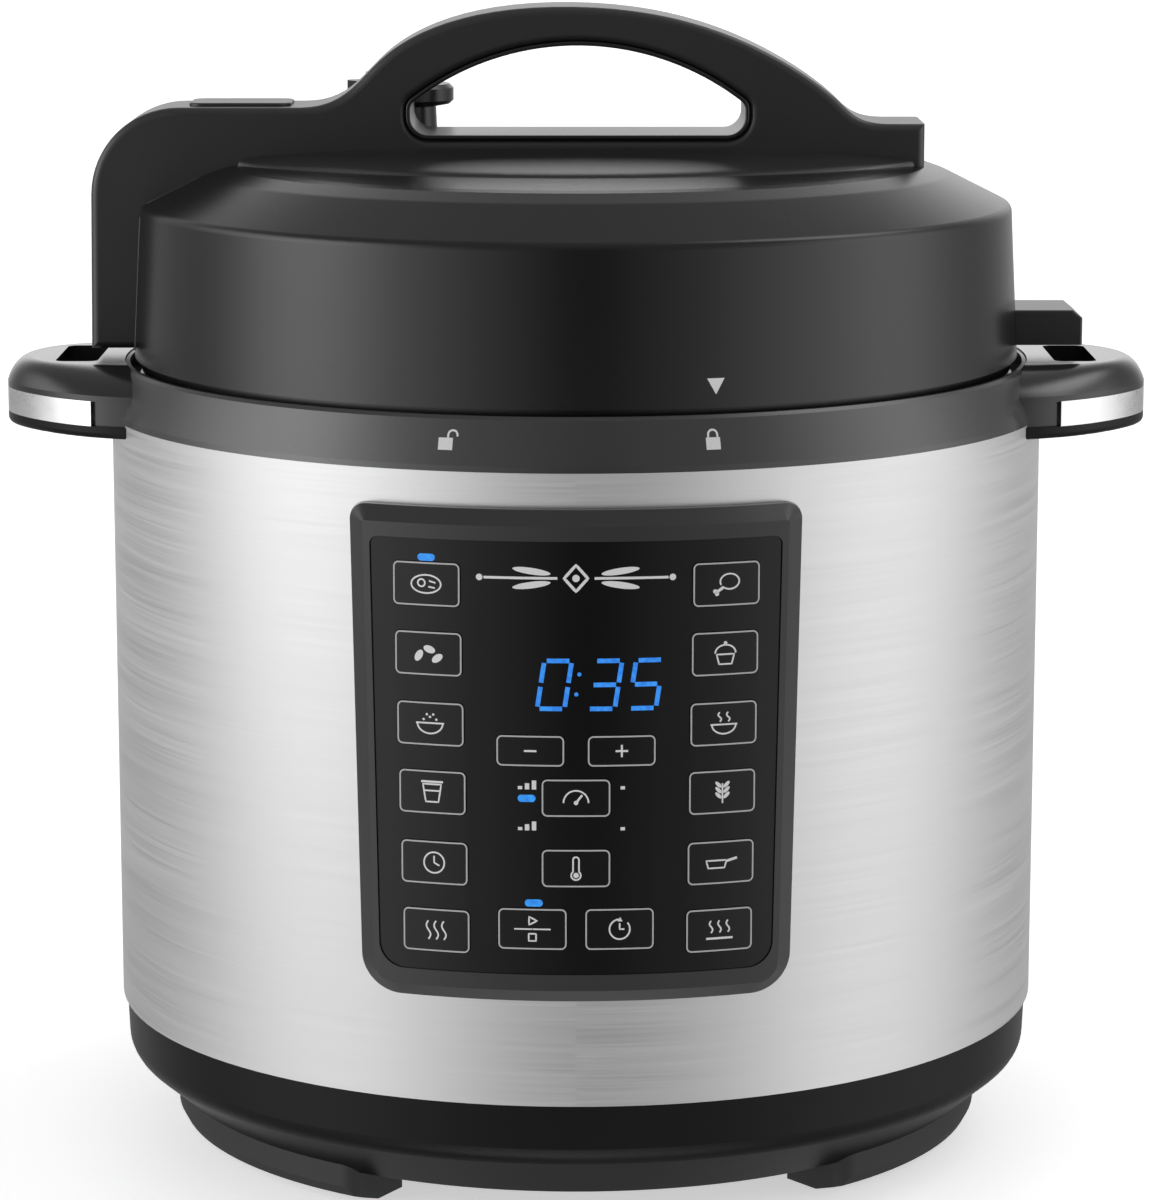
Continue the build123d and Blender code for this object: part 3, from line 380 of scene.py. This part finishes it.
class Print:
    """Collects flat strokes and dots, and makes one thin mesh of them on a round surface."""

    def __init__(self):
        self.points = []
        self.faces = []

    def strip(self, left, right, closed):
        """A ribbon between two rows of points, as a thin closed solid."""
        first = len(self.points)
        count = len(left)
        for a, b in zip(left, right):
            self.points += [(*a, 1), (*b, 1), (*a, 0), (*b, 0)]
        runs = count if closed else count - 1
        for index in range(runs):
            p = first + 4 * index
            q = first + 4 * ((index + 1) % count)
            self.faces += [(p, p + 1, q + 1, q), (p + 2, q + 2, q + 3, p + 3)]
            self.faces += [(p, q, q + 2, p + 2), (p + 1, p + 3, q + 3, q + 1)]
        if not closed:
            last = first + 4 * (count - 1)
            self.faces.append((first, first + 2, first + 3, first + 1))
            self.faces.append((last, last + 1, last + 3, last + 2))

    def line(self, points, width=0.45, closed=False):
        """A stroke along points."""
        self.strip(*rails(resampled(list(points), closed), width, closed), closed)

    def disc(self, x, y, radius):
        """A filled dot."""
        self.ellipse_fill(x, y, radius, radius)

    def ellipse_fill(self, x, y, wide, tall, lean=0.0):
        """A filled ellipse, as a ribbon across it."""
        left, right = [], []
        for index in range(13):
            angle = math.pi * (0.02 + 0.96 * index / 12)
            px, py = wide * math.cos(angle), tall * math.sin(angle)
            for side, row in ((1, left), (-1, right)):
                row.append(turned(px, side * py, lean, x, y))
        self.strip(left, right, False)

    def triangle(self, x, y, width, height):
        """A filled triangle: its level edge at y, its tip at y + height."""
        left, right = [], []
        for index in range(7):
            share = 0.98 * index / 6
            half = width / 2 * (1 - share)
            level = y + share * height
            pair = ((x - half, level), (x + half, level))
            left.append(pair[0] if height > 0 else pair[1])
            right.append(pair[1] if height > 0 else pair[0])
        self.strip(right, left, False)

    def bar(self, x0, y0, x1, y1):
        """A filled upright rectangle."""
        self.line([(x0, (y0 + y1) / 2), (x1, (y0 + y1) / 2)], abs(y1 - y0))

    def build(self, name, azimuth, height, radius_at, ink_material, body, slot):
        """The mesh object, riding on its body."""
        verts = [
            wrapped(azimuth, height, radius_at, x, y, INK if top else INK - INK_DEPTH)
            for x, y, top in self.points
        ]
        mesh = bpy.data.meshes.new(name)
        mesh.from_pydata(verts, [], self.faces)
        mesh.update()
        mesh.materials.append(ink_material)
        piece = bpy.data.objects.new(name, mesh)
        bpy.context.scene.collection.objects.link(piece)
        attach(piece, body)
        return piece


def turned(px, py, degrees, x=0.0, y=0.0):
    """A point turned about the origin and then moved."""
    cosine = math.cos(math.radians(degrees))
    sine = math.sin(math.radians(degrees))
    return (x + px * cosine - py * sine, y + px * sine + py * cosine)


def arc(x, y, radius, start, end, tall=None, count=24):
    """Points of an arc or part of an ellipse, in degrees."""
    tall = radius if tall is None else tall
    steps = [math.radians(start + (end - start) * index / count) for index in range(count + 1)]
    return [(x + radius * math.cos(step), y + tall * math.sin(step)) for step in steps]


def rounded_box(width, height, corner):
    """Closed outline of a rectangle with rounded corners."""
    points = []
    for quarter, (sx, sy) in enumerate(((1, 1), (-1, 1), (-1, -1), (1, -1))):
        centre = (sx * (width / 2 - corner), sy * (height / 2 - corner))
        points += arc(*centre, corner, 90 * quarter, 90 * quarter + 90, count=6)
    return points


def wave(x, y, height, swing):
    """An upright line that waves once to each side."""
    shares = [index / 12 for index in range(13)]
    return [(x + swing * math.sin(share * math.tau), y + height * share) for share in shares]


# Each pictogram is about 8 mm wide and 6 mm high, centred on its key.


def draw_meat(p):
    p.line(arc(0, 0, 4.2, 0, 360, 2.5)[:-1], closed=True)
    p.line(arc(-1.3, 0.3, 1.0, 0, 360)[:-1], closed=True)
    p.line([(0.9, 0.9), (2.7, 0.4)])
    p.line([(0.7, -0.7), (2.5, -1.0)])


def draw_beans(p):
    for x, y, lean in ((-2.6, -0.6, 60), (0.4, 1.2, -20), (2.6, -1.2, 35)):
        p.ellipse_fill(x, y, 1.7, 1.0, lean)


def draw_rice(p):
    p.line([(-4, 0.2), (4, 0.2)])
    p.line(arc(0, 0.2, 3.6, 180, 360, 2.9))
    for x, y in ((-1.8, 1.2), (0, 1.9), (1.8, 1.2), (-0.9, 2.6), (0.9, 2.6)):
        p.disc(x, y, 0.34)


def draw_yogurt(p):
    p.line([(-2.6, 2.2), (2.6, 2.2), (1.8, -2.7), (-1.8, -2.7)], closed=True)
    p.line([(-3.1, 2.9), (3.1, 2.9)], 0.6)
    p.line([(-2.2, 0.4), (2.2, 0.4)])


def draw_slow(p):
    p.line(arc(0, 0, 2.9, 0, 360)[:-1], closed=True)
    p.line([(0, 1.9), (0, 0), (1.5, -0.8)])


def draw_steam(p):
    for x in (-2.2, 0, 2.2):
        p.line(wave(x, -2.6, 5.2, 0.6))


def draw_poultry(p):
    p.line(arc(0.8, 0.7, 2.7, -130, 205, 2.1))
    p.line([(-0.9, -0.8), (-3.0, -2.2)], 0.8)
    p.disc(-3.3, -1.9, 0.6)
    p.disc(-2.8, -2.6, 0.6)


def draw_dessert(p):
    p.line([(-2.5, -0.2), (2.5, -0.2), (1.8, -2.9), (-1.8, -2.9)], closed=True)
    p.line(arc(0, 0.1, 2.9, 0, 180, 2.3))
    p.disc(0, 2.9, 0.5)


def draw_soup(p):
    p.line([(-3.8, -0.2), (3.8, -0.2)])
    p.line(arc(0, -0.2, 3.4, 180, 360, 2.6))
    for x in (-1.2, 1.2):
        p.line(wave(x, 0.6, 2.6, 0.45))


def draw_grain(p):
    p.line([(0, -3.1), (0, 2.4)])
    for level in (-0.9, 0.6, 2.1):
        for side in (-1, 1):
            p.ellipse_fill(side * 1.15, level, 1.15, 0.5, side * 45)


def draw_saute(p):
    p.line([(-4.2, 0.6), (1.6, 0.6), (1.0, -1.5), (-3.6, -1.5)], closed=True)
    p.line([(1.5, 0.3), (4.6, 1.1)], 0.7)


def draw_warm(p):
    for x in (-2.4, 0, 2.4):
        p.line(wave(x, -0.7, 3.4, 0.45))
    p.line([(-3.8, -2.3), (3.8, -2.3)], 0.6)


def draw_minus(p):
    p.line([(-1.7, 0), (1.7, 0)], 0.55)


def draw_plus(p):
    p.line([(-1.7, 0), (1.7, 0)], 0.55)
    p.line([(0, -1.7), (0, 1.7)], 0.55)


def draw_pressure(p):
    p.line(arc(0, -1.3, 3.4, 0, 180))
    p.line([(0, -1.3), (1.7, 0.9)], 0.6)
    p.disc(0, -1.3, 0.6)


def draw_temperature(p):
    p.line([(-0.8, -0.8), (-0.8, 2.4)] + arc(0, 2.4, 0.8, 180, 0, count=8) + [(0.8, -0.8)])
    p.line(arc(0, -1.9, 1.3, 125, 415))
    p.disc(0, -1.9, 0.75)


def draw_start(p):
    for side in (-1, 1):
        p.line([(side * 5.0, 0), (side * 0.1, 0)], 0.4)
    p.line([(-0.9, 1.2), (1.3, 2.35), (-0.9, 3.5)], closed=True)
    p.line([(-1.0, -3.3), (1.0, -3.3), (1.0, -1.3), (-1.0, -1.3)], closed=True)


def draw_delay(p):
    p.line(arc(0, 0, 2.8, 80, 400))
    p.line([(0, 1.7), (0, 0), (1.3, 0)])
    p.triangle(0.1, 2.2, 1.4, 1.2)


PICTOGRAMS = {
    "meat": draw_meat,
    "beans": draw_beans,
    "rice": draw_rice,
    "yogurt": draw_yogurt,
    "slow": draw_slow,
    "steam": draw_steam,
    "poultry": draw_poultry,
    "dessert": draw_dessert,
    "soup": draw_soup,
    "grain": draw_grain,
    "saute": draw_saute,
    "warm": draw_warm,
    "minus": draw_minus,
    "plus": draw_plus,
    "pressure": draw_pressure,
    "temperature": draw_temperature,
    "start": draw_start,
    "delay": draw_delay,
}


def key_places():
    """Azimuth, height and outline size of every key, by name."""
    places = {
        "minus": (-4.9, 143.0, 18.5, 8.5),
        "plus": (4.9, 143.0, 18.5, 8.5),
        "pressure": (0.0, 130.0, 18.7, 10.4),
        "temperature": (0.0, 110.4, 18.7, 10.5),
        "start": (-4.7, 93.3, 18.8, 11.5),
        "delay": (4.7, 93.3, 18.8, 11.5),
    }
    for row, height in enumerate(KEY_ROWS):
        share = row / (len(KEY_ROWS) - 1)
        for names, ends in ((LEFT_KEYS, LEFT_AZIMUTHS), (RIGHT_KEYS, RIGHT_AZIMUTHS)):
            places[names[row]] = (ends[0] + share * (ends[1] - ends[0]), height, 18.9, 12.0)
    return places


def print_keys():
    """The outline and pictogram of each key, riding on the key."""
    for name, (azimuth, height, width, tall) in key_places().items():
        outline = Print()
        body = f"key_{name}"
        edge = rounded_box(width - OUTLINE_INSET, tall - OUTLINE_INSET, OUTLINE_CORNER)
        outline.line(edge, OUTLINE_WIDTH, closed=True)
        outline.build(f"outline_{name}", azimuth, height, key_radius, PRINT["grey"], body, "key")
        icon = Print()
        PICTOGRAMS[name](icon)
        icon.build(f"icon_{name}", azimuth, height, key_radius, PRINT["white"], body, "key")


SEGMENTS = {
    "a": ((0, 1), (1, 1)),
    "b": ((1, 1), (1, 0.5)),
    "c": ((1, 0.5), (1, 0)),
    "d": ((0, 0), (1, 0)),
    "e": ((0, 0.5), (0, 0)),
    "f": ((0, 1), (0, 0.5)),
    "g": ((0, 0.5), (1, 0.5)),
}
DIGITS = {"0": "abcdef", "3": "abgcd", "5": "afgcd"}


def print_clock():
    """Slanted seven-segment time on the display."""
    wide, tall, slant, gap = 7.4, 13.2, 0.15, 0.09
    clock = Print()
    for x, digit in ((-15.6, "0"), (-2.0, "3"), (9.2, "5")):
        for segment in DIGITS[digit]:
            (x0, y0), (x1, y1) = SEGMENTS[segment]
            across, along = (x1 - x0) * gap, (y1 - y0) * gap
            ends = [(x0 + across, y0 + along), (x1 - across, y1 - along)]
            placed = [(x + px * wide + slant * tall * (py - 0.5), tall * (py - 0.5)) for px, py in ends]
            clock.line(placed, 1.25)
    for y in (-2.6, 2.9):
        clock.disc(-5.6 + slant * y, y, 0.55)
    clock.build("clock_digits", *CLOCK_PLACE, overlay_radius, PRINT["digits"], "housing", "light")


def print_panel():
    """Plain ornament above the display, and high and low marks beside the middle keys."""
    ornament = Print()
    for side in (-1, 1):
        ornament.line([(side * 5.0, 0), (side * 25.0, 0)], 0.7)
        ornament.ellipse_fill(side * 12.0, 1.9, 5.2, 0.9, side * 8)
        ornament.ellipse_fill(side * 12.0, -1.9, 5.2, 0.9, -side * 8)
        ornament.disc(side * 26.2, 0, 0.9)
    ornament.line([(0, 3.6), (3.2, 0), (0, -3.6), (-3.2, 0)], 0.8, closed=True)
    ornament.disc(0, 0, 1.0)
    ornament.build("panel_ornament", 0.0, ORNAMENT_Z, overlay_radius, PRINT["white"], "housing", "overlay")
    levels = Print()
    wide, pitch, short = 1.2, 1.9, 0.9
    for height in LEVEL_HEIGHTS:
        foot = height - LEVELS_Z - 1.0
        for column in range(3):
            x = -15.8 + pitch * column
            levels.bar(x, foot, x + wide, foot + short + 0.8 * column)
        levels.bar(12.1, foot, 12.1 + wide, foot + short)
    levels.build("level_marks", 0.0, LEVELS_Z, overlay_radius, PRINT["white"], "housing", "overlay")


def print_locks():
    """Arrow on the lid, and closed and open padlocks on the collar."""
    collar = slanted(COLLAR_FOOT, COLLAR_HEAD)
    arrow = Print()
    arrow.triangle(0, 2.2, 5.0, -4.4)
    wall = slanted(LID_FOOT, LID_HEAD)
    arrow.build("lid_arrow", *ARROW_PLACE, wall, PRINT["white"], "lid", "satin_black")
    for name, azimuth, swing in PADLOCKS:
        lock = Print()
        lock.bar(-2.0, -2.6, 2.0, 0.6)
        shackle = [(-1.3, 0.5), (-1.3, 1.3)] + arc(0, 1.3, 1.3, 180, 0, count=10)
        shackle.append((1.3, 0.5 if name == "closed" else 1.0))
        lock.line([(x + swing, y) for x, y in shackle], 0.55)
        lock.build(f"padlock_{name}", azimuth, PADLOCK_Z, collar, PRINT["white"], "housing", "collar")


# ---- round wire and beads ----


def rod(name, points, radius, finish, body):
    """A round rod along points in metres, as a mesh that rides on a body."""
    curve = bpy.data.curves.new(name, "CURVE")
    curve.dimensions = "3D"
    curve.bevel_depth = radius
    curve.bevel_resolution = 3
    curve.use_fill_caps = True
    spline = curve.splines.new("POLY")
    spline.points.add(len(points) - 1)
    for point, place in zip(spline.points, points):
        point.co = (*place, 1.0)
    drawn = bpy.data.objects.new(name, curve)
    mesh = bpy.data.meshes.new_from_object(drawn)
    bpy.data.objects.remove(drawn)
    mesh.materials.clear()
    mesh.materials.append(finish)
    for polygon in mesh.polygons:
        polygon.use_smooth = True
    made = bpy.data.objects.new(name, mesh)
    bpy.context.scene.collection.objects.link(made)
    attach(made, body)
    return made


def sensor_coil():
    """Compression spring under the sensor, as a coil of wire in place of the CAD spring."""
    wire, turns, steps = 0.6 * MM, 6, 24
    low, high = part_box("sensor_spring")
    foot, head = low[2] + wire, high[2] - wire
    radius = (high[0] - low[0]) / 2 - wire
    points = []
    for index in range(turns * steps + 1):
        turn = index / steps
        angle = 2 * math.pi * turn
        climb = min(max((turn - 1) / (turns - 2), 0.0), 1.0)
        points.append((radius * math.cos(angle), radius * math.sin(angle), foot + climb * (head - foot)))
    spring = rod("sensor_coil", points, wire, MATERIALS["spring_steel"], "housing")
    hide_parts("sensor_spring")
    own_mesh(spring)


def arm_beads():
    """Fine bead in the corner between the handle's arm and the lid, up the wall and the cone."""
    wall = slanted(LID_FOOT, LID_HEAD)
    cone = slanted(LID_HEAD, LID_CONE)
    corner = [(wall(z), z) for z in (236.0, 249.0, 262.0, 275.0)]
    corner += [(cone(z), z) for z in (279.6, 283.5, 287.0)]
    for side, name in ((-1, "front"), (1, "back")):
        y = side * ARM_HALF_WIDTH
        points = [(-math.sqrt(radius * radius - y * y) * MM, y * MM, z * MM) for radius, z in corner]
        rod(f"arm_bead_{name}", points, BEAD * MM, NODE_MATERIALS["lid_handle"], "lid")


# ---- camera, lights and floor ----


EYE = (0.0, -1.2875, 0.39616)
EYE_PITCH = 10.49           # degrees below level
LENS = 129.7
SENSOR_WIDTH = 36.0


def camera():
    """The view of the photograph: from just above the lid, looking a little down."""
    data = bpy.data.cameras.new("camera")
    data.lens = LENS
    data.sensor_width = SENSOR_WIDTH
    data.clip_end = 50.0
    eye = bpy.data.objects.new("camera", data)
    eye.location = EYE
    eye.rotation_euler = (math.radians(90.0 - EYE_PITCH), 0.0, 0.0)
    bpy.context.scene.collection.objects.link(eye)
    bpy.context.scene.camera = eye


def soft_panel(tree, azimuth, half_width, height, half_height, brightness):
    """Brightness, by direction, of one soft-edged panel of the studio's surround, in degrees."""
    place = tree.nodes["Surround"].outputs["Vector"]
    reach = tree.nodes.new("ShaderNodeVectorMath")
    reach.operation = "SUBTRACT"
    reach.inputs[1].default_value = (math.radians(azimuth), math.radians(height), 0)
    tree.links.new(place, reach.inputs[0])
    wrap = tree.nodes.new("ShaderNodeVectorMath")
    wrap.operation = "WRAP"
    wrap.inputs[1].default_value = (math.pi, math.pi, 1)
    wrap.inputs[2].default_value = (-math.pi, -math.pi, -1)
    tree.links.new(reach.outputs["Vector"], wrap.inputs[0])
    scaled = tree.nodes.new("ShaderNodeVectorMath")
    scaled.operation = "DIVIDE"
    scaled.inputs[1].default_value = (math.radians(half_width), math.radians(half_height), 1)
    tree.links.new(wrap.outputs["Vector"], scaled.inputs[0])
    length = tree.nodes.new("ShaderNodeVectorMath")
    length.operation = "LENGTH"
    tree.links.new(scaled.outputs["Vector"], length.inputs[0])
    fade = tree.nodes.new("ShaderNodeMapRange")
    fade.interpolation_type = "SMOOTHERSTEP"
    fade.inputs["From Min"].default_value = 1.0
    fade.inputs["From Max"].default_value = 0.0
    fade.inputs["To Max"].default_value = brightness
    tree.links.new(length.outputs["Value"], fade.inputs["Value"])
    return fade.outputs["Result"]


# Panels round the cooker: azimuth, half width, elevation, half height, brightness
SURROUND = (
    (-60, 60, -4, 48, 0.95),
    (-74, 40, 8, 26, 2.1),
    (74, 62, -4, 48, 0.95),
    (88, 34, 8, 26, 0.8),
    (-74, 44, 28, 22, 1.3),
    (84, 44, 28, 22, 0.9),
    (180, 60, 14, 34, 0.9),
    (112, 40, 55, 30, 2.5),
    (0, 90, -50, 34, 1.6),
    (-104, 30, 22, 26, 1.0),
    (3, 20, 4, 66, -0.26),
)
SURROUND_BASE = 0.33


def studio():
    """Surround of soft panels round the pale floor: bright at the sides, dark behind the camera."""
    bpy.context.scene.view_settings.view_transform = "Standard"
    world = bpy.data.worlds.new("studio")
    world.use_nodes = True
    tree = world.node_tree
    background = tree.nodes["Background"]
    background.inputs["Color"].default_value = (1, 1, 1, 1)
    direction = tree.nodes.new("ShaderNodeTexCoord")
    split = tree.nodes.new("ShaderNodeSeparateXYZ")
    tree.links.new(direction.outputs["Generated"], split.inputs["Vector"])
    forward = tree.nodes.new("ShaderNodeMath")
    forward.operation = "MULTIPLY"
    forward.inputs[1].default_value = -1.0
    tree.links.new(split.outputs["Y"], forward.inputs[0])
    around = tree.nodes.new("ShaderNodeMath")
    around.operation = "ARCTAN2"
    tree.links.new(split.outputs["X"], around.inputs[0])
    tree.links.new(forward.outputs["Value"], around.inputs[1])
    upward = tree.nodes.new("ShaderNodeMath")
    upward.operation = "ARCSINE"
    tree.links.new(split.outputs["Z"], upward.inputs[0])
    joined = tree.nodes.new("ShaderNodeCombineXYZ")
    joined.name = "Surround"
    tree.links.new(around.outputs["Value"], joined.inputs["X"])
    tree.links.new(upward.outputs["Value"], joined.inputs["Y"])
    total = None
    for panel in SURROUND:
        shone = soft_panel(tree, *panel)
        added = tree.nodes.new("ShaderNodeMath")
        added.operation = "ADD"
        tree.links.new(shone, added.inputs[0])
        added.inputs[1].default_value = SURROUND_BASE
        if total is not None:
            tree.links.new(total, added.inputs[1])
        total = added.outputs["Value"]
    path = tree.nodes.new("ShaderNodeLightPath")
    mix = tree.nodes.new("ShaderNodeMix")
    mix.inputs["B"].default_value = 1.0
    tree.links.new(path.outputs["Is Camera Ray"], mix.inputs["Factor"])
    tree.links.new(total, mix.inputs["A"])
    tree.links.new(mix.outputs["Result"], background.inputs["Strength"])
    bpy.context.scene.world = world


def floor():
    """Pale floor, bright enough to run into the white surround, with a soft shadow under the cooker."""
    reach = 12.0
    mesh = bpy.data.meshes.new("floor")
    corners = [(-reach, -reach, 0), (reach, -reach, 0), (reach, reach, 0), (-reach, reach, 0)]
    mesh.from_pydata(corners, [], [(0, 1, 2, 3)])
    pale, _, shader = material("floor", (0.9, 0.9, 0.9), 0.6)
    shader.inputs["Emission Color"].default_value = (1, 1, 1, 1)
    shader.inputs["Emission Strength"].default_value = 0.55
    mesh.materials.append(pale)
    plane = bpy.data.objects.new("floor", mesh)
    plane.visible_glossy = False
    plane.visible_diffuse = False
    bpy.context.scene.collection.objects.link(plane)


dress_cad()
print_keys()
print_clock()
print_panel()
print_locks()
sensor_coil()
arm_beads()
studio()
floor()
camera()
